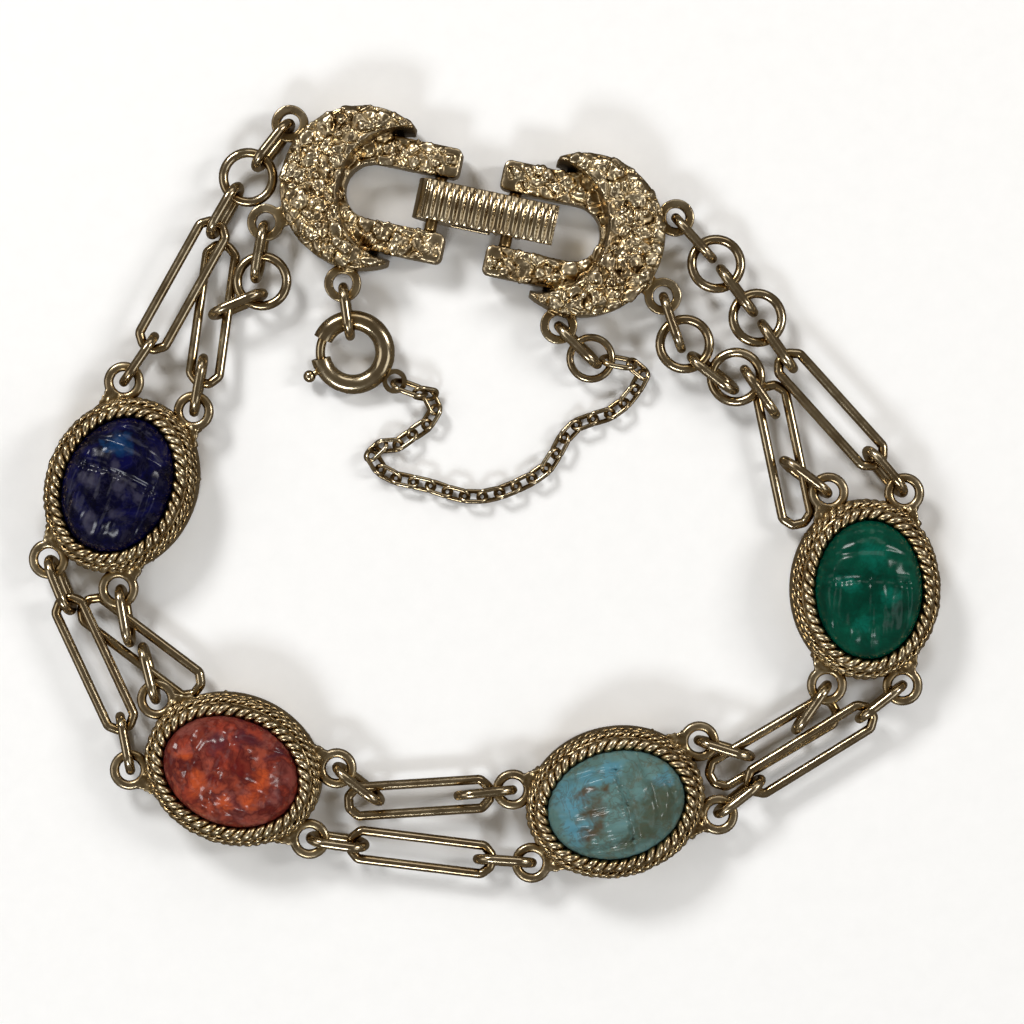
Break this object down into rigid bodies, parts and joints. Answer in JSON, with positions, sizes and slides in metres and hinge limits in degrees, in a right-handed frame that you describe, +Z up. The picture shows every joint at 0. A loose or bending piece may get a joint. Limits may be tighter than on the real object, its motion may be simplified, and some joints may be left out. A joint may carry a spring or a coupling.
{
  "type": "scarab link bracelet",
  "caption": "closed link bracelet of carved oval scarab stones in rope-edged settings, with a fold-over clasp between crescents and a safety chain",
  "frame": {"origin": "middle of the bracelet's footprint, on the surface it lies on", "axes": "+X from the blue stone towards the green one, along the loop's longest way; +Y towards the clasp; +Z up from the surface, the thin way"},
  "size_m": [0.0662, 0.0568, 0.0057],
  "materials": {
    "goldtone": "champagne gold plated cast and drawn metal, satin with bright edges and dark recesses",
    "stone_blue": "polished glass, lapis blue clouded with lavender grey",
    "stone_coral": "polished glass, coral red veined with crimson",
    "stone_aqua": "polished glass, turquoise with brown matrix",
    "stone_green": "polished glass, emerald green with darker patches"
  },
  "bodies": {
    "bracelet": {"chain_left_inner": "goldtone", "chain_left_outer": "goldtone", "chain_right_inner": "goldtone", "chain_right_outer": "goldtone", "clasp_left": "goldtone", "clasp_right": "goldtone", "long_aqua_green_inner": "goldtone", "long_aqua_green_outer": "goldtone", "long_blue_coral_inner": "goldtone", "long_blue_coral_outer": "goldtone", "long_coral_aqua_lower": "goldtone", "long_coral_aqua_upper": "goldtone", "long_left_inner": "goldtone", "long_left_outer": "goldtone", "long_right_inner": "goldtone", "long_right_outer": "goldtone", "oval_aqua_green_inner_first": "goldtone", "oval_aqua_green_inner_last": "goldtone", "oval_aqua_green_outer_first": "goldtone", "oval_aqua_green_outer_last": "goldtone", "oval_blue_coral_inner_first": "goldtone", "oval_blue_coral_inner_last": "goldtone", "oval_blue_coral_outer_first": "goldtone", "oval_blue_coral_outer_last": "goldtone", "oval_coral_aqua_lower_first": "goldtone", "oval_coral_aqua_lower_last": "goldtone", "oval_coral_aqua_upper_first": "goldtone", "oval_coral_aqua_upper_last": "goldtone", "oval_left_inner_last": "goldtone", "oval_left_outer_last": "goldtone", "oval_right_inner_last": "goldtone", "oval_right_outer_last": "goldtone", "safety_chain": "goldtone", "safety_link": "goldtone", "setting_aqua": "goldtone", "setting_blue": "goldtone", "setting_coral": "goldtone", "setting_green": "goldtone", "spring_ring": "goldtone", "stone_aqua": "stone_aqua", "stone_blue": "stone_blue", "stone_coral": "stone_coral", "stone_green": "stone_green"},
    "clasp_lever": {"clasp_bar": "goldtone"},
    "spring_ring_tongue": {"spring_ring_trigger": "goldtone"}
  },
  "joints": [
    {"name": "clasp_lever_hinge", "type": "hinge", "parent": "bracelet", "child": "clasp_lever", "pos_m": [-0.00357, 0.02111, 0.0015], "axis": [-0.2079, -0.9781, 0], "range_deg": [0, 140]},
    {"name": "spring_ring_slide", "type": "hinge", "parent": "bracelet", "child": "spring_ring_tongue", "pos_m": [-0.00962, 0.01037, 0.00112], "axis": [0.0242, -0.172, 0.9848], "range_deg": [0, 45], "stiffness_Nm_per_rad": 0.002, "springref_deg": -11.46}
  ]
}
